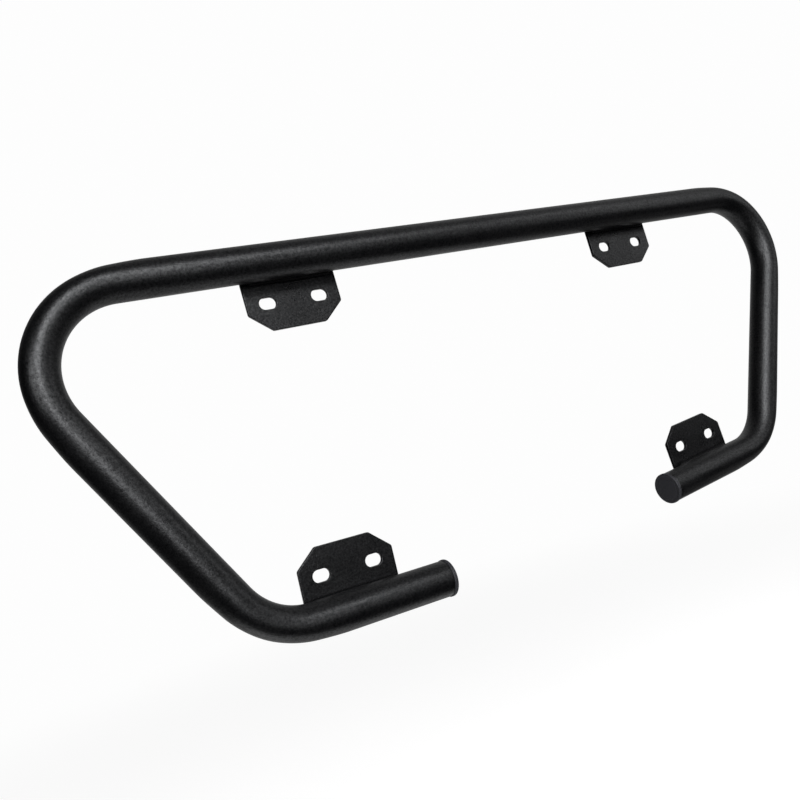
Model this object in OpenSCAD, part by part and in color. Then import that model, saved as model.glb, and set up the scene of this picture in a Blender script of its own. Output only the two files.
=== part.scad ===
// Tubular crash bar for a motorcycle: one tube bent flat into an open
// trapezoid, four slotted mounting plates welded to its rear, and a push-in
// plug in each end of the tube. All lengths are in millimetres.
// The part stands as it is mounted: +X along the top bar, +Y to the rear,
// towards the machine, and +Z up. The origin is on the plates' rear faces,
// midway between the upper slots and level with them.

/* [Tube] */
// Outside diameter of the tube
tube_od = 25.4; // [20:0.1:32]
// Wall of the tube
tube_wall = 2; // [1.2:0.1:3]
// Radius of every bend, at the tube's axis
bend_radius = 55; // [48:1:65]

/* [Outline of the bar] */
// Overall width, over the outsides of the upper bends
overall_width = 705; // [660:1:800]
// Height from the corner of the lower stubs' axis to the top bar's axis
drop = 237; // [200:1:290]
// Angle that each upper bend turns the tube through
upper_bend_angle = 118.112; // [110:0.001:124]
// Angle that each lower bend turns the tube through
lower_bend_angle = 58.675; // [54:0.001:64]
// Bare tube between a lower plate and the end of its stub
stub_tail = 28.5; // [24:0.5:50]
// Straight tube left between a lower plate and its bend
plate_bend_gap = 1; // [0:0.5:12]

/* [Mounting plates] */
// Length of each plate along the tube
plate_l = 72; // [64:1:86]
// Height of each plate from the tube's axis to its free edge
plate_reach = 45; // [40:1:56]
// Height by which each plate laps past the tube's axis
plate_lap = 5; // [3.5:0.5:7]
// Thickness of the plates
plate_t = 3; // [2.5:0.5:5]
// Length of each corner cut along the free edge
corner_cut_l = 15.5; // [8:0.5:18]
// Depth of each corner cut across the plate
corner_cut_h = 13; // [8:0.5:16]
// Rounding of the plate's corners
corner_r = 2.5; // [1:0.5:4]
// Distance of the upper plates' middles from the middle of the bar
top_plate_x = 164; // [120:1:200]

/* [Slots] */
// Distance between the middles of the two slots in a plate
slot_spacing = 40; // [34:0.5:44]
// Distance from the tube's axis to the row of slots
slot_row = 25.5; // [23:0.5:28]
// Width of each slot
slot_w = 8.5; // [6.5:0.1:9]
// Length of each slot, end to end
slot_l = 13; // [10:0.5:16]

/* [Weld beads] */
// Width of the bead in the wedge between the tube and a plate
bead_w = 6; // [5:0.5:7]
// Distance from one ripple of a bead to the next
bead_pitch = 3; // [2.5:0.5:4]
// Bare stretch at each end of a plate, left without weld
bead_inset = 4; // [2:0.5:10]

/* [End plugs] */
// Thickness of the plug's lip, outside the tube
lip_t = 3; // [2:0.1:4]
// Height by which the lip stands proud of the tube all round
lip_over = 0.5; // [0.2:0.1:2]
// Rounding of the lip's outer edge
lip_r = 1; // [0.5:0.1:1.5]
// Depth of the plug inside the tube
plug_depth = 16; // [12:1:20]
// Number of gripping ribs round the plug
rib_count = 3; // [2:1:4]
// Thickness of each rib at its tip
rib_tip = 0.8; // [0.6:0.1:1.2]
// Height of the ribs over the plug's core
rib_h = 1.6; // [1:0.1:2]
// Wall of the plug's hollow core
core_wall = 1.8; // [1.2:0.1:2.5]
// Clearance between the ribs' tips and the bore
plug_clear = 0.1; // [0.05:0.05:0.3]

/* [Hidden] */

left = -1;
right = 1;
bottom = -1;
top = 1;
tube_r = tube_od / 2;
bore_r = tube_r - tube_wall;
coat_black = [0.07, 0.07, 0.075];
plug_black = [0.05, 0.05, 0.055];
round_fn = 96;
ring_fn = 2 * round_fn;
bead_fn = 32;

// The bar's axis, seen from the part's origin
axis_y = -(tube_r + plate_t);
axis_z = slot_row;

// Angle that each side leans from upright, and the straights between the bends
side_angle = upper_bend_angle - 90;
top_run = overall_width / 2 - tube_r - bend_radius;
side_run = drop / cos(side_angle) - setback(upper_bend_angle) - setback(lower_bend_angle);
stub_run = plate_bend_gap + plate_l + stub_tail;
ring_room = bend_radius + tube_od;
peg_lap = tube_wall / 2;
bore_past = tube_wall;

// Length that a bend takes from each straight beside it
function setback(angle) = bend_radius * tan(angle / 2);
function unit(v) = v / norm(v);

// The bar's own plane, from the middle of the top bar: X along the tube towards
// its end, Y away from the inside of the bar, and Z to the front
module bar_plane(side) {
    translate([0, axis_y, axis_z]) rotate([90, 0, 0])
        mirror([side == left ? 1 : 0, 0, 0]) children();
}

module past_straight(run) {
    translate([run, 0, 0]) children();
}

module past_bend(angle) {
    translate([0, -bend_radius, 0]) rotate([0, 0, -angle])
        translate([0, bend_radius, 0]) children();
}

module on_side(side) {
    bar_plane(side) past_straight(top_run) past_bend(upper_bend_angle) children();
}

module on_stub(side) {
    on_side(side) past_straight(side_run) past_bend(lower_bend_angle) children();
}

// A straight round rod between two places on its axis
module rod(radius, from, to) {
    translate([from, 0, 0]) rotate([0, 90, 0])
        cylinder(r = radius, h = to - from, $fn = round_fn);
}

// A bent rod: the part of a full ring between the planes of its two ends. A peg
// inside each end laps into the straight beside it, so that they are one solid.
module bent_rod(radius, angle) {
    peg_r = radius - tube_wall / 2;
    rod(peg_r, -peg_lap, peg_lap);
    past_bend(angle) rod(peg_r, -peg_lap, peg_lap);
    translate([0, -bend_radius, 0]) intersection() {
        rotate_extrude($fn = ring_fn) translate([bend_radius, 0])
            circle(r = radius, $fn = round_fn);
        translate([0, -ring_room, -ring_room]) cube(2 * ring_room);
        rotate([0, 0, -angle]) translate([-2 * ring_room, -ring_room, -ring_room])
            cube(2 * ring_room);
    }
}

// A rod along the whole bar, and past the ends of its stubs
module along_bar(radius, past_end) {
    bar_plane(right) rod(radius, -top_run, top_run);
    for (side = [left, right]) {
        bar_plane(side) past_straight(top_run) bent_rod(radius, upper_bend_angle);
        on_side(side) rod(radius, 0, side_run);
        on_side(side) past_straight(side_run) bent_rod(radius, lower_bend_angle);
        on_stub(side) rod(radius, 0, stub_run + past_end);
    }
}

// Places on the tube's axis: the middle of each plate, and the end of each stub
module at_plate(row, side) {
    if (row == top)
        bar_plane(side) past_straight(top_plate_x) children();
    else
        on_stub(side) past_straight(plate_bend_gap + plate_l / 2) children();
}

module at_stub_end(side) {
    on_stub(side) past_straight(stub_run) rotate([0, 90, 0]) children();
}

// A convex outline with round corners, from its corners in anticlockwise order
module rounded_outline(corners, radius) {
    n = len(corners);
    insets = [for (i = [0 : n - 1])
        let (p = corners[i],
             before = unit(corners[(i + n - 1) % n] - p),
             after = unit(corners[(i + 1) % n] - p),
             half = acos(before * after) / 2)
        [p + before * radius / tan(half),
         p + after * radius / tan(half),
         p + unit(before + after) * radius / sin(half)]];
    polygon([for (i = [0 : n - 1], k = [0, 1]) insets[i][k]]);
    for (i = [0 : n - 1])
        translate(insets[i][2]) circle(r = radius, $fn = round_fn);
}

// Outline of a plate, which reaches from the tube's axis to the inside of the bar
module plate_outline() {
    half = plate_l / 2;
    rounded_outline([
        [-half, plate_lap],
        [-half, corner_cut_h - plate_reach],
        [corner_cut_l - half, -plate_reach],
        [half - corner_cut_l, -plate_reach],
        [half, corner_cut_h - plate_reach],
        [half, plate_lap]
    ], corner_r);
}

module slot_outline() {
    half_run = (slot_l - slot_w) / 2;
    square([2 * half_run, slot_w], center = true);
    for (side = [left, right])
        translate([side * half_run, 0]) circle(d = slot_w, $fn = round_fn);
}

// A shape as thick as a plate, flat against the tube's rear along one line
module behind_tube() {
    translate([0, 0, -tube_r - plate_t]) linear_extrude(plate_t) children();
}

module mounting_plate() {
    behind_tube() difference() {
        plate_outline();
        for (side = [left, right])
            translate([side * slot_spacing / 2, -slot_row]) slot_outline();
    }
}

// A straight bead of overlapping round ripples along X
module rippled_bead(radius) {
    run = plate_l - 2 * bead_inset - 2 * radius;
    steps = ceil(run / bead_pitch);
    rotate([0, 90, 0]) rotate_extrude($fn = bead_fn) intersection() {
        for (i = [0 : steps])
            translate([0, run * (i / steps - 0.5)]) circle(r = radius, $fn = bead_fn);
        translate([0, -plate_l / 2]) square([2 * radius, plate_l]);
    }
}

// How far the middle of a bead stands off the plate and off the tube, as shares
// of the bead's radius, and the rear bead's radius as a share of the plate
off_plate = 0.45;
front_off_tube = 0.75;
rear_off_tube = 0.6;
rear_bead_share = 0.8;

// Places of the two beads beside a plate: behind the tube's axis, and off it to
// the inside of the bar for the front bead and to the outside for the rear one
front_bead_r = bead_w / 2;
front_bead_back = tube_r - off_plate * front_bead_r;
front_bead_in = leg(tube_r + front_off_tube * front_bead_r, front_bead_back);
rear_bead_r = rear_bead_share * plate_t;
rear_bead_out = plate_lap + off_plate * rear_bead_r;
rear_bead_back = leg(tube_r + rear_off_tube * rear_bead_r, rear_bead_out);
function leg(slant, other) = sqrt(slant * slant - other * other);

module front_bead() {
    translate([0, -front_bead_in, -front_bead_back]) rippled_bead(front_bead_r);
}

module rear_bead() {
    translate([0, rear_bead_out, -rear_bead_back]) rippled_bead(rear_bead_r);
}

module main_tube() {
    color(coat_black) difference() {
        along_bar(tube_r, 0);
        along_bar(bore_r, bore_past);
    }
}

module plate(row, side) {
    color(coat_black) at_plate(row, side) mounting_plate();
}

// A bead beside a plate, cut to the tube and to the plate that it joins
module weld(row, side) {
    color(coat_black) difference() {
        at_plate(row, side) children();
        along_bar(tube_r, 0);
        at_plate(row, side) behind_tube() plate_outline();
    }
}

// Bare core beyond the last rib, as a share of the ribs' spacing
end_share = 0.5;

// Half section of a rib: a short tip, with a slope towards the lip
module rib_section(root_r, tip_r) {
    polygon([
        [root_r, -rib_tip],
        [tip_r, 0],
        [tip_r, rib_tip],
        [root_r, 2 * rib_tip]
    ]);
}

// Half section of a plug: a hollow ribbed core, and a round-edged lip above it
module plug_section() {
    tip_r = bore_r - plug_clear;
    core_r = tip_r - rib_h;
    hollow_r = core_r - core_wall;
    lip_edge = tube_r + lip_over;
    rib_step = plug_depth / (rib_count + end_share);
    translate([hollow_r, -plug_depth]) square([core_wall, plug_depth]);
    for (i = [1 : rib_count])
        translate([0, -i * rib_step]) rib_section(core_r - core_wall / 2, tip_r);
    square([lip_edge - lip_r, lip_t]);
    square([lip_edge, lip_t - lip_r]);
    translate([lip_edge - lip_r, lip_t - lip_r]) circle(r = lip_r, $fn = round_fn);
}

module end_plug(side) {
    color(plug_black) at_stub_end(side) rotate_extrude($fn = round_fn) plug_section();
}

main_tube();
plate(top, left);  // plate_top_left
plate(top, right);  // plate_top_right
plate(bottom, left);  // plate_bottom_left
plate(bottom, right);  // plate_bottom_right
weld(top, left) front_bead();  // weld_top_left_front
weld(top, left) rear_bead();  // weld_top_left_rear
weld(top, right) front_bead();  // weld_top_right_front
weld(top, right) rear_bead();  // weld_top_right_rear
weld(bottom, left) front_bead();  // weld_bottom_left_front
weld(bottom, left) rear_bead();  // weld_bottom_left_rear
weld(bottom, right) front_bead();  // weld_bottom_right_front
weld(bottom, right) rear_bead();  // weld_bottom_right_rear
end_plug(left);  // end_plug_left
end_plug(right);  // end_plug_right
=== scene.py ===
"""The dressed motorcycle crash bar: one bent tube, four slotted plates with
their weld beads, and a plug in each end, in a satin black powder coat.
Lengths in the code are in millimetres, and they become metres where a mesh is made.
"""

import bmesh
import bpy
import numpy as np
from mathutils import Matrix, Vector


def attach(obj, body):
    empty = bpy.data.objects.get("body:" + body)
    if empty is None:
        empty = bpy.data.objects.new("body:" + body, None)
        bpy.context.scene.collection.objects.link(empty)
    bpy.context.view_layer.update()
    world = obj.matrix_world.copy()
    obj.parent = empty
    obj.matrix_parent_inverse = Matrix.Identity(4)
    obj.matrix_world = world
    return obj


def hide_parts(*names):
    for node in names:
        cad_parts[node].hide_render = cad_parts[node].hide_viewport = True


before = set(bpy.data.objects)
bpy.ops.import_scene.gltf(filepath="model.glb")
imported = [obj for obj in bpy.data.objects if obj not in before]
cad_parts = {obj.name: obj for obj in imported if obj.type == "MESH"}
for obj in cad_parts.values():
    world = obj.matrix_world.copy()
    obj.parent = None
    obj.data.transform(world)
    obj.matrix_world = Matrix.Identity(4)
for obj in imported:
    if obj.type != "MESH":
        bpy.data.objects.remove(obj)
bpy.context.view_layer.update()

# Sizes, mm

MM = 0.001

# The tube and its bends. DROP is the height from the corner of a stub's axis to the
# top bar's axis, and WIDTH is over the outsides of the upper bends.
TUBE_R = 12.7
WALL = 2.0
BORE_R = TUBE_R - WALL
BEND_R = 55.0
UPPER_ANGLE = np.radians(118.112)
LOWER_ANGLE = np.radians(58.675)
DROP = 237.0
WIDTH = 705.0

# The plates: length along the tube, reach inward and outward of the tube's axis,
# thickness, cut corners, roundings, places on the bar, and the stub past a plate
PLATE_L = 72.0
PLATE_REACH = 45.0
PLATE_LAP = 5.0
PLATE_T = 3.0
CUT_L = 15.5
CUT_H = 13.0
CORNER_R = 2.5
PLATE_EDGE = 0.45
TOP_PLATE_X = 164.0
BEND_GAP = 1.0
STUB_TAIL = 28.5

# The slots: spacing, distance from the tube's axis, width and length
SLOT_SPACING = 40.0
SLOT_ROW = 25.5
SLOT_W = 8.5
SLOT_L = 13.0

# The tube's axis behind the plates' rear faces and above the upper slots
AXIS_Y = -(TUBE_R + PLATE_T)
AXIS_Z = SLOT_ROW

# Straights of the bar, from the middle of the top bar to the end of a stub
TOP_RUN = WIDTH / 2 - TUBE_R - BEND_R
SIDE_RUN = DROP / np.cos(UPPER_ANGLE - np.pi / 2) - BEND_R * (
    np.tan(UPPER_ANGLE / 2) + np.tan(LOWER_ANGLE / 2)
)
STUB_RUN = BEND_GAP + PLATE_L + STUB_TAIL
RUNS = np.cumsum(
    [TOP_RUN, BEND_R * UPPER_ANGLE, SIDE_RUN, BEND_R * LOWER_ANGLE, STUB_RUN]
)

# A bend draws the outer wall of the tube in, from a little before the bend: shares
# of the radius, and the lengths of the lead and of the smooth rise
FLAT_DEPTH = 0.176
FLAT_SWELL = 0.026
FLAT_LEAD = 22.5
FLAT_RAMP = 43.2

# The tube's mesh: points round it, distance between its rings, rounding of its ends
AROUND = 112
RING_STEP = 2.8
END_EDGE = 0.5

# Angles over a small rounded edge, a quarter turn in all
EDGE_TURN = np.linspace(0, np.pi / 2, 5)


# Mesh building

# Points closer than this are one point, mm
MERGE = 0.0005


def grid_faces(rows, cols, wrap_rows=True, skip=None):
    """The quads of a grid whose columns close on themselves, and its rows if asked.

    skip marks the quads to leave out.
    """
    index = np.arange(rows * cols).reshape(rows, cols)
    below = np.roll(index, -1, axis=0)
    quads = np.stack(
        [index, np.roll(index, -1, axis=1), np.roll(below, -1, axis=1), below], axis=-1
    )
    keep = np.ones((rows, cols), bool) if skip is None else ~skip
    if not wrap_rows:
        keep[-1] = False
    return quads[keep]


def mesh_piece(name, points, faces):
    """A smooth closed piece from points in millimetres and the quads between them.

    Points that no face uses are dropped, and points that meet are merged, which
    closes seams and poles. Then the faces are turned outwards.
    """
    used, faces = np.unique(faces, return_inverse=True)
    mesh = bpy.data.meshes.new(name)
    mesh.from_pydata((points[used] * MM).tolist(), [], faces.reshape(-1, 4).tolist())
    work = bmesh.new()
    work.from_mesh(mesh)
    bmesh.ops.remove_doubles(work, verts=work.verts, dist=MERGE * MM)
    bmesh.ops.recalc_face_normals(work, faces=work.faces)
    work.to_mesh(mesh)
    work.free()
    mesh.polygons.foreach_set("use_smooth", np.ones(len(mesh.polygons), bool))
    mesh.update()
    piece = bpy.data.objects.new(name, mesh)
    bpy.context.scene.collection.objects.link(piece)
    return piece


def grid_piece(name, grid, wrap_rows=True):
    """A piece from one grid of points, rows by columns by 3."""
    faces = grid_faces(*grid.shape[:2], wrap_rows)
    return mesh_piece(name, grid.reshape(-1, 3), faces)


def side_name(side):
    """Left for the side of minus one, and right for the side of one."""
    return "left" if side < 0 else "right"


def dress(piece, node, material):
    """Puts a piece in the place of a solid, with its finish."""
    piece.data.materials.append(material)
    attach(piece, "root")
    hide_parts(node)


# The bar's axis


def along(s):
    """Place, heading and inward direction at distance s from the bar's middle.

    Each half is a sum of its straights and bends: a straight adds its run along
    its heading, and a bend adds its radius times the change of the sine and the
    cosine of the heading. Negative s gives the left half, which is the mirror
    image of the right one.
    """
    d = np.abs(s)
    first = np.clip((d - RUNS[0]) / BEND_R, 0, UPPER_ANGLE)
    second = np.clip((d - RUNS[2]) / BEND_R, 0, LOWER_ANGLE)
    heading = first + second
    top = np.clip(d, 0, RUNS[0])
    side = np.clip(d - RUNS[1], 0, SIDE_RUN)
    stub = np.maximum(d - RUNS[3], 0)
    end = UPPER_ANGLE + LOWER_ANGLE
    x = top + side * np.cos(UPPER_ANGLE) + stub * np.cos(end)
    z = -side * np.sin(UPPER_ANGLE) - stub * np.sin(end)
    x = x + BEND_R * (np.sin(first) + np.sin(UPPER_ANGLE + second) - np.sin(UPPER_ANGLE))
    z = z + BEND_R * (np.cos(first) - 1 + np.cos(UPPER_ANGLE + second) - np.cos(UPPER_ANGLE))
    hand = np.where(np.asarray(s) < 0, -1.0, 1.0)
    flat = np.zeros_like(x)
    place = np.stack([hand * x, flat + AXIS_Y, z + AXIS_Z], -1)
    forward = np.stack([hand * np.cos(heading), flat, -np.sin(heading)], -1)
    inward = np.stack([-hand * np.sin(heading), flat, -np.cos(heading)], -1)
    return place, forward, inward


def flattening(s):
    """Share of the full flattening at s: a smooth rise and fall over each bend."""
    share = np.zeros_like(s)
    for start, stop in ((RUNS[0], RUNS[1]), (RUNS[2], RUNS[3])):
        into = np.minimum(np.abs(s) - start, stop - np.abs(s)) + FLAT_LEAD
        t = np.clip(into / FLAT_RAMP, 0, 1)
        share = np.maximum(share, t * t * (3 - 2 * t))
    return share


REAR = np.array([0.0, 1.0, 0.0])


def make_tube():
    """The bent tube, as a ring carried out along the bar and back through the bore.

    A point is the axis at s, plus radius times cosine of the angle inward and
    sine of it to the rear. In a bend the outer half of the ring is drawn in and
    the front half stands out a little. The ends are rounded by a quarter circle.
    """
    half, edge = RUNS[-1], END_EDGE
    turn = EDGE_TURN[1:]
    outer = np.linspace(-half + edge, half - edge, int(2 * half / RING_STEP))
    bore = np.linspace(half - edge, -half + edge, int(half / RING_STEP))
    end = half - edge + edge * np.sin(turn)
    s = np.concatenate([outer, end, end[::-1], bore, -end, -end[::-1]])
    out = TUBE_R - edge + edge * np.cos(turn)
    inner = BORE_R + edge - edge * np.cos(turn)
    wall = np.full(outer.shape, TUBE_R)
    hole = np.full(bore.shape, BORE_R)
    radius = np.concatenate([wall, out, inner[::-1], hole, inner, out[::-1]])[:, None]
    angle = np.linspace(0, 2 * np.pi, AROUND, endpoint=False)[None]
    place, _, inward = along(s)
    share = flattening(s)[:, None]
    drawn = 1 - FLAT_DEPTH * share * (np.cos(angle) < 0)
    swell = 1 + FLAT_SWELL * share * (np.sin(angle) < 0)
    to_inside = (radius * drawn * np.cos(angle))[..., None] * inward[:, None]
    to_rear = (radius * swell * np.sin(angle))[..., None] * REAR
    return grid_piece("main_tube_coated", place[:, None] + to_inside + to_rear)


# Plates and their slots

# A plate's mesh: points round a corner, least distance between outline points, points
# on the middle line, and the flat strip beside each rounded edge
CORNER_STEPS = 6
OUTLINE_STEP = 3.0
MIDDLE_POINTS = 16
EDGE_LAND = 0.12

# Keeps a division from nought
TINY = 1e-9


def plate_place(row, side):
    """Middle of a plate on the axis, and its directions: along, inward, rear."""
    s = TOP_PLATE_X if row == "top" else RUNS[3] + BEND_GAP + PLATE_L / 2
    place, forward, inward = along(np.array(side * s))
    return place, np.stack([forward, inward, REAR])


def rounded_chain(corners, radius):
    """Points along an open chain of corners, each inner corner rounded by an arc.

    An arc point is the arc's centre plus the radius at an angle between the
    normals of the two sides. Returns the points and their outward normals.
    """
    points, normals = [], []
    t = np.linspace(0, 1, CORNER_STEPS)[:, None]
    sides = np.diff(corners, axis=0)
    sides = sides / np.linalg.norm(sides, axis=1)[:, None]
    outs = np.stack([-sides[:, 1], sides[:, 0]], -1)
    for i in range(1, len(corners) - 1):
        a, b = outs[i - 1], outs[i]
        half = np.arccos(np.clip(a @ b, -1, 1)) / 2
        centre = corners[i] - (a + b) / np.linalg.norm(a + b) * radius / np.cos(half)
        n = np.sin((1 - t) * 2 * half) * a + np.sin(t * 2 * half) * b
        n = n / np.linalg.norm(n, axis=1)[:, None]
        points.append(centre + radius * n)
        normals.append(n)
    points = [corners[:1]] + points + [corners[-1:]]
    normals = [outs[:1]] + normals + [outs[-1:]]
    return np.concatenate(points), np.concatenate(normals)


def split_sides(points, normals):
    """Adds points along the sides of an outline, each side in equal parts.

    A side's number of parts is its length over OUTLINE_STEP, cut to a whole number
    and at least one. Part k of n of a side lies at the share k / n of it, and its
    normal is the same share of the way between the normals of the side's ends.
    """
    lengths = np.linalg.norm(np.diff(points, axis=0), axis=1)
    parts = np.maximum(1, (lengths / OUTLINE_STEP).astype(int))
    side = np.repeat(np.arange(len(parts)), parts)
    before = np.repeat(np.cumsum(parts) - parts, parts)
    share = ((np.arange(len(side)) - before + 1) / parts[side])[:, None]

    def split(values):
        return np.concatenate([values[:1], values[side] + np.diff(values, axis=0)[side] * share])

    return split(points), split(normals)


def slot_radius(angle, grow):
    """Distance from a slot's middle to its edge: the straight side's, or the arc's."""
    run, r = (SLOT_L - SLOT_W) / 2, SLOT_W / 2 + grow
    c, s = np.abs(np.cos(angle)), np.abs(np.sin(angle))
    on_side = r * c <= run * s
    side = r / np.maximum(s, TINY)
    arc = run * c + np.sqrt(np.maximum(r * r - (run * s) ** 2, 0))
    return np.where(on_side, side, arc)


def half_plate():
    """Half of a plate, as a section carried round its slot.

    Across: a ray from the slot's middle to each point of the half's outline.
    Along: from the slot's wall over its rounded edge, the face and the plate's
    rounded edge to the rim, and back on the rear. The face is a straight blend
    of the two outlines. On the middle line there is no rim.
    """
    half, e = PLATE_L / 2, PLATE_EDGE
    corners = np.array(
        [
            [0, PLATE_REACH],
            [half - CUT_L, PLATE_REACH],
            [half, PLATE_REACH - CUT_H],
            [half, -PLATE_LAP],
            [0, -PLATE_LAP],
        ]
    )
    rim, out = split_sides(*rounded_chain(corners, CORNER_R))
    middle_y = np.linspace(-PLATE_LAP + 2 * e, PLATE_REACH - 2 * e, MIDDLE_POINTS)
    middle = np.stack([np.zeros_like(middle_y), middle_y], -1)
    outline = np.concatenate([rim, middle])
    normal = np.concatenate([out, np.zeros_like(middle)])
    has_rim = np.concatenate([np.ones(len(rim), bool), np.zeros(len(middle), bool)])
    centre = np.array([SLOT_SPACING / 2, SLOT_ROW])
    ray = outline - centre
    angle = np.arctan2(ray[:, 1], ray[:, 0])
    unit = ray / np.linalg.norm(ray, axis=1)[:, None]

    def slot_edge(grow):
        return centre + unit * slot_radius(angle, grow)[:, None]

    bend = e * (1 - np.cos(EDGE_TURN))
    level = e * (1 - np.sin(EDGE_TURN))
    land = e + EDGE_LAND
    rows = [slot_edge(inset) for inset in [*bend, land]]
    rows += [outline - normal * inset for inset in [land, *bend[::-1]]]
    rows = np.stack(rows)
    depth = np.concatenate([level, [0.0, 0.0], level[::-1]])
    rows = np.concatenate([rows, rows[::-1]])
    depth = np.concatenate([depth, PLATE_T - depth[::-1]])
    flat = np.broadcast_to(depth[:, None, None], rows.shape[:2] + (1,))
    grid = np.concatenate([rows, flat], axis=-1)
    skip = np.zeros(grid.shape[:2], bool)
    no_wall = ~(has_rim & np.roll(has_rim, -1))
    face_end = len(EDGE_TURN) + 1
    skip[face_end : len(rows) - face_end - 1] = no_wall[None]
    return grid, skip


def make_plate(row, side):
    """A mounting plate: the half round one slot, and its mirror image."""
    grid, skip = half_plate()
    place, axes = plate_place(row, side)
    both = np.stack([grid, grid * np.array([-1.0, 1.0, 1.0])])
    points = place + (both + np.array([0.0, 0.0, TUBE_R])) @ axes
    faces = grid_faces(*skip.shape, skip=skip)
    faces = np.concatenate([faces, faces + skip.size])
    return mesh_piece(f"plate_{row}_{side_name(side)}_coated", points.reshape(-1, 3), faces)


# Weld beads

# How far a bead ends short of the plate's ends, its ripples' pitch, its gap to the
# metal, and the radii of the two beads
BEAD_INSET = 4.0
BEAD_PITCH = 3.0
BEAD_GAP = 0.02
FRONT_R = 3.0
REAR_R = 2.4

# A bead's middle off the plate and off the tube, as shares of its radius
OFF_PLATE = 0.45
FRONT_OFF_TUBE = 0.75
REAR_OFF_TUBE = 0.6

# Ripples: bow and wander as shares of the pitch, how much of a half circle each one
# shows, and the bead's radius as its least part, its ripple and its wander
RIPPLE_BOW = 0.45
RIPPLE_SHIFT = 0.25
RIPPLE_ARC = 0.85
RADIUS_LEAST = 0.86
RADIUS_RIPPLE = 0.12
RADIUS_WANDER = 0.022

# Waves of the wander: how many, and their least and most height, length and start
WAVES = 5
WAVE_HEIGHT = (0.3, 1)
WAVE_LENGTH = (3, 14)
WAVE_START = (0, 6)

# A bead's mesh, and a distance that no ray reaches
BEAD_AROUND = 40
BEAD_STEPS = 150
FAR = 1e6


def ray_to_circle(centre, ray, radius):
    """Distance from a point outside a circle about the origin to it along a ray."""
    b = (ray * centre).sum(-1)
    c = centre @ centre - radius * radius
    root = b * b - c
    hit = -b - np.sqrt(np.maximum(root, 0))
    return np.where((root > 0) & (hit > 0), hit, FAR)


def bead_middle(face):
    """A bead's radius, and its middle as inward and rear distances off the axis.

    The slant distance to the axis and one of the two are known, and the other is
    the root of the difference of their squares.
    """
    if face == "front":
        back = TUBE_R - OFF_PLATE * FRONT_R
        inner = np.sqrt((TUBE_R + FRONT_OFF_TUBE * FRONT_R) ** 2 - back**2)
        return FRONT_R, np.array([inner, back])
    out = PLATE_LAP + OFF_PLATE * REAR_R
    back = np.sqrt((TUBE_R + REAR_OFF_TUBE * REAR_R) ** 2 - out**2)
    return REAR_R, np.array([-out, back])


def bead_wander(x, random):
    """A slow wander along x: a sum of sine waves of random height, length and start."""
    draw = random.uniform
    return sum(
        draw(*WAVE_HEIGHT) * np.sin(x / draw(*WAVE_LENGTH) + draw(*WAVE_START))
        for _ in range(WAVES)
    )


def make_bead(row, side, face, seed):
    """A weld bead: rays from its middle line, each as long as the shortest of three.

    These are the bead's own rippled radius, the way to the tube and the way to the
    plate. The ripples are arcs one pitch apart, bowed along the bead, and the ends
    close as a half circle does.
    """
    radius, centre = bead_middle(face)
    half = PLATE_L / 2 - BEAD_INSET
    turn = np.linspace(-np.pi / 2, np.pi / 2, BEAD_STEPS)
    even = np.linspace(-half, half, BEAD_STEPS)
    x = np.sort(np.concatenate([half * np.sin(turn), even[1:-1]]))
    angle = np.linspace(0, 2 * np.pi, BEAD_AROUND, endpoint=False)
    ray = np.stack([np.cos(angle), np.sin(angle)], -1)

    off_corner = np.array([centre[0], centre[1] - TUBE_R])
    outward = (ray @ off_corner) / np.linalg.norm(off_corner)
    bow = RIPPLE_BOW * BEAD_PITCH * (1 - outward)[None]
    wander = bead_wander(x, np.random.default_rng(seed))[:, None]
    phase = (x[:, None] + bow + RIPPLE_SHIFT * wander) / BEAD_PITCH
    share = phase - np.floor(phase)
    ripple = np.sqrt(1 - (2 * RIPPLE_ARC * share - RIPPLE_ARC) ** 2)
    own = radius * (RADIUS_LEAST + RADIUS_RIPPLE * ripple + RADIUS_WANDER * wander)
    past = np.clip(np.abs(x) - half + radius, 0, radius) / radius
    own = own * np.sqrt(np.clip(1 - past**2, 0, 1))[:, None]

    to_tube = ray_to_circle(centre, ray, TUBE_R + BEAD_GAP)
    if face == "front":
        toward, room = ray[:, 1], TUBE_R - BEAD_GAP - centre[1]
    else:
        toward, room = ray[:, 0], -PLATE_LAP - BEAD_GAP - centre[0]
    to_plate = np.where(toward > 0, room / np.maximum(toward, 1 / FAR), FAR)
    length = np.minimum(own, np.minimum(to_tube, to_plate)[None])

    section = centre + length[..., None] * ray
    run = np.broadcast_to(x[:, None, None], section.shape[:2] + (1,))
    local = np.concatenate([run, section], axis=-1)
    place, axes = plate_place(row, side)
    name = f"weld_{row}_{side_name(side)}_{face}_coated"
    return grid_piece(name, place + local @ axes, wrap_rows=False)


# End plugs

# The lip: thickness, edge, roundings of its front and back, and angles over them
LIP_T = 3.0
LIP_EDGE = TUBE_R + 0.5
LIP_R = 1.0
LIP_BACK_R = 0.8
LIP_TURN = np.linspace(0, np.pi / 2, 9)

# The core inside the tube, and its own hollow
CORE_R = 9.0
HOLLOW_R = 7.2
CORE_DEPTH = 16.0

# Ribs: tips a little short of the bore, and places along the core
RIB_TIP = BORE_R - 0.1
RIB_W = 0.8
RIBS = 3
RIB_STEP = CORE_DEPTH / (RIBS + 0.5)

# The plug's face from its middle out: radius, and depth of the shallow ring
FACE = np.array(
    [
        [0, 0],
        [3, 0],
        [6, 0],
        [8.6, 0],
        [9.4, 0.04],
        [9.9, 0.2],
        [10.3, 0.3],
        [10.8, 0.2],
        [11.4, 0.04],
        [12.0, 0],
    ]
)


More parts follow.
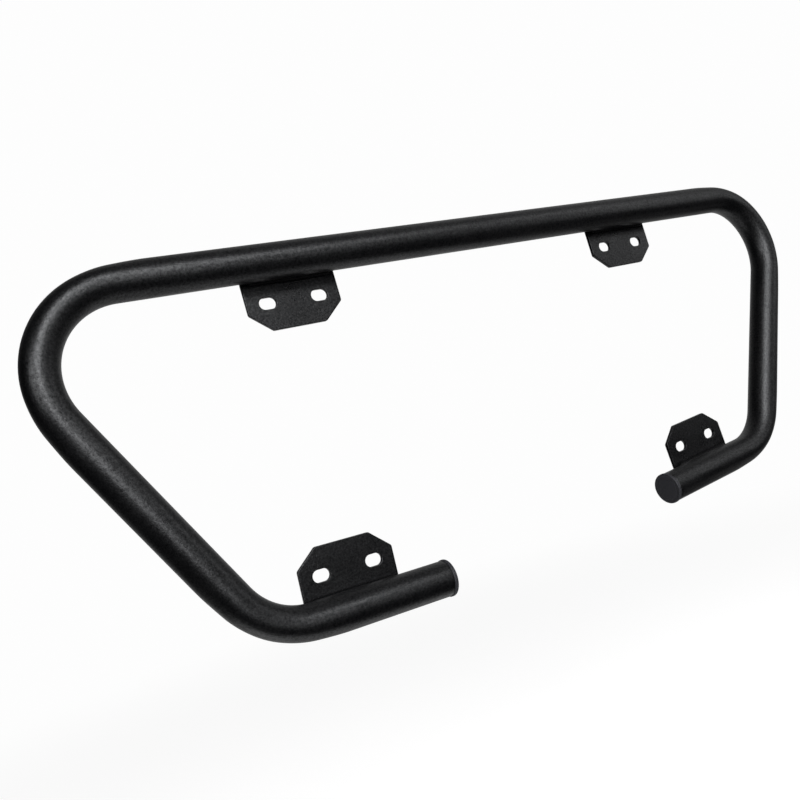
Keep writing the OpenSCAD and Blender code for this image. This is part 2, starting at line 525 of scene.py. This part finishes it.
def plug_section():
    """Half section of a plug, as distances out from the rim and off the axis.

    It runs from the middle of the face over a shallow ring and the lip, whose two
    edges are quarter circles, under the lip to the core, along the ribs, and back
    inside the hollow core.
    """
    face_x, face_r = LIP_T - FACE[:, 1], FACE[:, 0]
    lip_x = LIP_T - LIP_R + LIP_R * np.cos(LIP_TURN)
    lip_r = LIP_EDGE - LIP_R + LIP_R * np.sin(LIP_TURN)
    under_x = np.append(LIP_BACK_R - LIP_BACK_R * np.sin(LIP_TURN), [0, 0])
    under_r = LIP_EDGE - LIP_BACK_R + LIP_BACK_R * np.cos(LIP_TURN)
    under_r = np.append(under_r, [TUBE_R - LIP_BACK_R, CORE_R])
    rib = np.arange(1, RIBS + 1)[:, None] * RIB_STEP
    rib_x = (-rib + RIB_W * np.array([[2, 1, 0, -1]])).reshape(-1)
    rib_r = np.tile([CORE_R, RIB_TIP, RIB_TIP, CORE_R], RIBS)
    core_x = [-CORE_DEPTH, -CORE_DEPTH, 0, 0]
    core_r = [CORE_R, HOLLOW_R, HOLLOW_R, 0]
    x = np.concatenate([face_x, lip_x, under_x, rib_x, core_x])
    radius = np.concatenate([face_r, lip_r, under_r, rib_r, core_r])
    return x, radius


def make_plug(side):
    """A plug: its half section turned about the stub's axis."""
    x, radius = plug_section()
    place, forward, inward = along(np.array(side * RUNS[-1]))
    angle = np.linspace(0, 2 * np.pi, AROUND, endpoint=False)
    ring = np.cos(angle)[:, None] * inward + np.sin(angle)[:, None] * REAR
    grid = place + x[:, None, None] * forward + radius[:, None, None] * ring[None]
    return grid_piece(f"end_plug_{side_name(side)}_moulded", grid, wrap_rows=False)


# Materials


def add_node(tree, kind, label, **values):
    """A shader node with its settings and its unlinked inputs."""
    node = tree.nodes.new(kind)
    node.label = label
    for key, value in values.items():
        if hasattr(node, key):
            setattr(node, key, value)
        else:
            node.inputs[key.replace("_", " ")].default_value = value
    return node


def map_range(tree, label, source, ends, kind="LINEAR"):
    """Takes a value from the range of the first two ends to that of the last two."""
    node = add_node(tree, "ShaderNodeMapRange", label, interpolation_type=kind)
    for socket, value in zip(node.inputs[1:5], ends):
        socket.default_value = value
    tree.links.new(source, node.inputs[0])
    return node.outputs[0]


def coat_grain_group():
    """Grain of the coat: coarse and fine bumps, and where the coat is duller.

    Bump Size and Patch Size are in millimetres.
    """
    tree = bpy.data.node_groups.new("coat grain", "ShaderNodeTree")
    add_socket = tree.interface.new_socket
    for name, value in (("Bump Size", 1.2), ("Fine Share", 0.4), ("Patch Size", 30.0)):
        socket = add_socket(name=name, in_out="INPUT", socket_type="NodeSocketFloat")
        socket.default_value = value
    for name in ("Height", "Patches"):
        add_socket(name=name, in_out="OUTPUT", socket_type="NodeSocketFloat")
    given = tree.nodes.new("NodeGroupInput")
    result = tree.nodes.new("NodeGroupOutput")
    place = tree.nodes.new("ShaderNodeTexCoord")
    link = tree.links.new

    def noise(label, size, finer, detail, rough):
        """Noise whose features are the named size, or that many times finer."""
        scale = add_node(tree, "ShaderNodeMath", label + " scale", operation="DIVIDE")
        scale.inputs[0].default_value = finer / MM
        link(given.outputs[size], scale.inputs[1])
        node = add_node(tree, "ShaderNodeTexNoise", label, Detail=detail, Roughness=rough)
        link(place.outputs["Object"], node.inputs["Vector"])
        link(scale.outputs[0], node.inputs["Scale"])
        return node.outputs[0]

    coarse = noise("orange peel", "Bump Size", finer=1.0, detail=2.0, rough=0.5)
    fine = noise("fine grain", "Bump Size", finer=2.3, detail=1.0, rough=0.5)
    patches = noise("dull patches", "Patch Size", finer=1.0, detail=3.0, rough=0.55)
    blend = add_node(tree, "ShaderNodeMix", "both grains", data_type="FLOAT")
    link(given.outputs["Fine Share"], blend.inputs[0])
    link(coarse, blend.inputs[2])
    link(fine, blend.inputs[3])
    link(blend.outputs[0], result.inputs["Height"])
    link(patches, result.inputs["Patches"])
    return tree


COAT_GRAIN = coat_grain_group()
SPECULAR_TINT = (0.96, 0.975, 1.0, 1.0)

# The part of the noise that shows, how far the patches change the roughness, and
# how far the colour is painted darker in the grain's hollows, as painted shade, and
# lighter on its crests, as painted light
NOISE_SHOWN = (0.3, 0.7)
GLOSSIER = 0.04
DULLER = 0.05
HOLLOW_PAINTED_SHADE = 0.7
CREST_PAINTED_LIGHT = 1.3


def coat_material(name, colour, roughness, bump_size, depth, fine, shine):
    """A black finish: bumps, shinier on their crests, with painted light on the crests and painted
    shade in the hollows, and patches a little duller.

    bump_size and depth are the grain's in millimetres, and fine is the share of the
    fine grain. shine is the specular level in the grain's hollows and on its crests.
    """
    material = bpy.data.materials.new(name)
    material.use_nodes = True
    tree = material.node_tree
    tree.nodes.clear()
    link = tree.links.new
    result = tree.nodes.new("ShaderNodeOutputMaterial")
    shader = add_node(tree, "ShaderNodeBsdfPrincipled", name, Specular_Tint=SPECULAR_TINT)
    grain = tree.nodes.new("ShaderNodeGroup")
    grain.node_tree = COAT_GRAIN
    grain.inputs["Bump Size"].default_value = bump_size
    grain.inputs["Fine Share"].default_value = fine
    spread = (roughness - GLOSSIER, roughness + DULLER)
    dull = map_range(tree, "roughness", grain.outputs["Patches"], (*NOISE_SHOWN, *spread))
    link(dull, shader.inputs["Roughness"])
    crest = map_range(tree, "shine", grain.outputs["Height"], (*NOISE_SHOWN, *shine))
    link(crest, shader.inputs["Specular IOR Level"])
    # The colour: painted shade in the grain's hollows and painted light on its crests
    tone = add_node(tree, "ShaderNodeMix", "colour", data_type="RGBA")
    tone.inputs[6].default_value = [HOLLOW_PAINTED_SHADE * c for c in colour] + [1]
    tone.inputs[7].default_value = [CREST_PAINTED_LIGHT * c for c in colour] + [1]
    link(grain.outputs["Height"], tone.inputs[0])
    link(tone.outputs[2], shader.inputs["Base Color"])
    bump = add_node(tree, "ShaderNodeBump", "grain", Strength=1.0, Distance=depth * MM)
    link(grain.outputs["Height"], bump.inputs["Height"])
    link(bump.outputs[0], shader.inputs["Normal"])
    link(shader.outputs[0], result.inputs["Surface"])
    return material


COAT_BLACK = (0.001, 0.001, 0.0013)
PLUG_BLACK = (0.025, 0.025, 0.029)
tube_coat = coat_material(
    "coat on tube", COAT_BLACK, roughness=0.365, bump_size=1.7, depth=0.14, fine=0.4, shine=(0.2, 0.84)
)
plate_coat = coat_material(
    "coat on plates", COAT_BLACK, roughness=0.3, bump_size=1.6, depth=0.16, fine=0.4, shine=(0.18, 0.76)
)
weld_coat = coat_material(
    "coat on welds", COAT_BLACK, roughness=0.5, bump_size=1.2, depth=0.1, fine=0.5, shine=(0.1, 0.35)
)
plug_skin = coat_material(
    "moulded plug", PLUG_BLACK, roughness=0.5, bump_size=0.5, depth=0.02, fine=0.4, shine=(0.2, 0.35)
)

# The pieces

LEFT, RIGHT = -1, 1

dress(make_tube(), "main_tube", tube_coat)
seed = 0
for row in ("top", "bottom"):
    for side in (LEFT, RIGHT):
        place = f"{row}_{side_name(side)}"
        dress(make_plate(row, side), f"plate_{place}", plate_coat)
        for face in ("front", "rear"):
            seed += 1
            bead = make_bead(row, side, face, seed)
            dress(bead, f"weld_{place}_{face}", weld_coat)
for side in (LEFT, RIGHT):
    dress(make_plug(side), f"end_plug_{side_name(side)}", plug_skin)

# Floor, lights and camera

# White of the background, and the dim glow of the room round the bar
WHITE = 0.984
ROOM_GLOW = 0.008

# Pale sides of the room as the coat sees them: direction, two cosines, strength
BACKDROPS = (
    ("low backdrop", (0.15, 0.853, -0.5), 0.55, 0.95, 0.46),
    ("right wall", (0.84, 0.3, 0.45), 0.4, 0.95, 0.27),
    ("high backdrop", (0.3, 0.8, 0.5), 0.55, 0.95, 0.17),
)


def camera_ray(tree):
    """One where the camera itself looks, and nought for reflections and light."""
    return tree.nodes.new("ShaderNodeLightPath").outputs["Is Camera Ray"]


def make_world():
    """White where the camera looks, and as a light a dark room with pale sides.

    A pale side is a soft patch of the sky: its glow rises smoothly with the
    cosine of the angle from the middle of that side.
    """
    world = bpy.data.worlds.new("studio")
    world.use_nodes = True
    tree = world.node_tree
    tree.nodes.clear()
    link = tree.links.new
    direction = tree.nodes.new("ShaderNodeTexCoord")
    room = add_node(tree, "ShaderNodeBackground", "room", Color=(1, 1, 1, 1))
    total = None
    for name, middle, far, near, strength in BACKDROPS:
        cosine = add_node(tree, "ShaderNodeVectorMath", name, operation="DOT_PRODUCT")
        cosine.inputs[1].default_value = middle
        link(direction.outputs["Generated"], cosine.inputs[0])
        ends = (far, near, 0.0, strength)
        glow = map_range(tree, name, cosine.outputs["Value"], ends, "SMOOTHSTEP")
        both = add_node(tree, "ShaderNodeMath", "room and " + name, operation="ADD")
        both.inputs[1].default_value = ROOM_GLOW
        if total is not None:
            link(total, both.inputs[1])
        link(glow, both.inputs[0])
        total = both.outputs[0]
    link(total, room.inputs["Strength"])
    white = add_node(tree, "ShaderNodeBackground", "white", Color=(1, 1, 1, 1), Strength=WHITE)
    pick = tree.nodes.new("ShaderNodeMixShader")
    link(camera_ray(tree), pick.inputs[0])
    link(room.outputs[0], pick.inputs[1])
    link(white.outputs[0], pick.inputs[2])
    result = tree.nodes.new("ShaderNodeOutputWorld")
    link(pick.outputs[0], result.inputs["Surface"])
    return world


scene = bpy.context.scene
scene.world = make_world()
scene.view_settings.view_transform = "Standard"

# The floor, m: its height and half side, and where its shadow blends into white
FLOOR_Z = -0.62
FLOOR_HALF = 6.0
SHADOW_NEAR = 0.9
SHADOW_FAR = 2.6

# Its tone under the lamps, and the white that it adds of its own
FLOOR_TONE = 0.8
OWN_WHITE = 0.7


def make_floor():
    """A pale floor below the bar: one flat square.

    Near the bar it is matt and takes the lamps' light and the bar's shadow, over a
    plain white of its own that brings it level with the background. Further out it
    blends smoothly into that background. The coat doesn't reflect it, and the lamps
    below shine through it.
    """
    corners = [(-1, -1), (1, -1), (1, 1), (-1, 1)]
    mesh = bpy.data.meshes.new("floor")
    mesh.from_pydata(
        [(FLOOR_HALF * x, FLOOR_HALF * y, FLOOR_Z) for x, y in corners], [], [(0, 1, 2, 3)]
    )
    floor = bpy.data.objects.new("floor", mesh)
    scene.collection.objects.link(floor)
    material = bpy.data.materials.new("pale floor")
    material.use_nodes = True
    tree = material.node_tree
    tree.nodes.clear()
    link = tree.links.new
    matt = add_node(
        tree, "ShaderNodeBsdfDiffuse", "matt", Color=(FLOOR_TONE, FLOOR_TONE, FLOOR_TONE, 1)
    )
    seen = camera_ray(tree)
    own = add_node(tree, "ShaderNodeMath", "own white", operation="MULTIPLY")
    own.inputs[1].default_value = OWN_WHITE
    link(seen, own.inputs[0])
    glow = add_node(tree, "ShaderNodeEmission", "own white", Color=(1, 1, 1, 1))
    link(own.outputs[0], glow.inputs["Strength"])
    both = tree.nodes.new("ShaderNodeAddShader")
    link(matt.outputs[0], both.inputs[0])
    link(glow.outputs[0], both.inputs[1])
    far = add_node(tree, "ShaderNodeEmission", "background", Color=(1, 1, 1, 1))
    level = add_node(tree, "ShaderNodeMath", "background", operation="MULTIPLY")
    level.inputs[1].default_value = WHITE
    link(seen, level.inputs[0])
    link(level.outputs[0], far.inputs["Strength"])
    place = tree.nodes.new("ShaderNodeTexCoord")
    length = add_node(tree, "ShaderNodeVectorMath", "distance", operation="LENGTH")
    link(place.outputs["Object"], length.inputs[0])
    ends = (SHADOW_NEAR, SHADOW_FAR, 0.0, 1.0)
    fade = map_range(tree, "fade", length.outputs["Value"], ends, "SMOOTHSTEP")
    pick = tree.nodes.new("ShaderNodeMixShader")
    link(fade, pick.inputs[0])
    link(both.outputs[0], pick.inputs[1])
    link(far.outputs[0], pick.inputs[2])
    result = tree.nodes.new("ShaderNodeOutputMaterial")
    link(pick.outputs[0], result.inputs["Surface"])
    mesh.materials.append(material)
    floor.visible_glossy = False
    floor.visible_shadow = False
    return floor


make_floor()

# The bar's middle, where the lamps face, and how far off they stand, m
MIDDLE_Z = -0.1
MIDDLE = Vector((0, AXIS_Y * MM, MIDDLE_Z))
LAMP_DISTANCE = 2.0

# Lamps: name, azimuth, elevation, width, height, radiance
LAMPS = (
    ("tall softbox", -10.6, 17.6, 0.65, 2.45, 3.3),
    ("upper strip", -1.0, 33.3, 2.03, 0.73, 3.9),
    ("low strip", -7.0, 2.2, 3.0, 0.3, 1.35),
    ("left strip", -35.9, 14.8, 2.77, 0.5, 5.1),
    ("right card", 54.8, 19.8, 0.55, 1.69, 1.1),
    ("right low card", 90.0, -32.0, 1.2, 0.3, 0.3),
    ("card below", 0, -90, 1.0, 1.0, 0.74),
    ("right card below", 120, -60, 1.0, 1.0, 0.5),
    ("left card below", -120, -60, 1.0, 1.0, 0.95),
)


def soft_light(name, azimuth, elevation, width, height, radiance):
    """A soft rectangular lamp that faces the bar's middle.

    Azimuth 0 is in front of the bar and 90 to its right, and elevation is above
    level. A lamp's power is its radiance times its area times pi.
    """
    a, e = np.radians([azimuth, elevation])
    away = Vector((np.sin(a) * np.cos(e), -np.cos(a) * np.cos(e), np.sin(e)))
    data = bpy.data.lights.new(name, "AREA")
    data.shape = "RECTANGLE"
    data.size, data.size_y = width, height
    data.energy = np.pi * width * height * radiance
    lamp = bpy.data.objects.new(name, data)
    lamp.location = MIDDLE + away * LAMP_DISTANCE
    lamp.rotation_mode = "QUATERNION"
    lamp.rotation_quaternion = away.to_track_quat("Z", "Y")
    lamp.visible_camera = False
    scene.collection.objects.link(lamp)


for lamp in LAMPS:
    soft_light(*lamp)

# The camera's place, m, and its own directions, written as right, up and back
CAMERA_AT = (-0.3941111, -0.5066045, -0.1220221)
CAMERA_AXES = (
    (0.8400275, -0.4637338, -0.2816111),
    (0.2165876, -0.1892699, 0.9577404),
    (-0.4974371, -0.8655217, -0.0585530),
)
SENSOR = 36.0
LENS = 35.5579
CLIP_START = 0.01

camera_data = bpy.data.cameras.new("camera")
camera_data.sensor_width = SENSOR
camera_data.lens = LENS
camera_data.clip_start = CLIP_START
camera = bpy.data.objects.new("camera", camera_data)
camera.rotation_mode = "QUATERNION"
camera.rotation_quaternion = Matrix(CAMERA_AXES).transposed().to_quaternion()
camera.location = CAMERA_AT
scene.collection.objects.link(camera)
scene.camera = camera
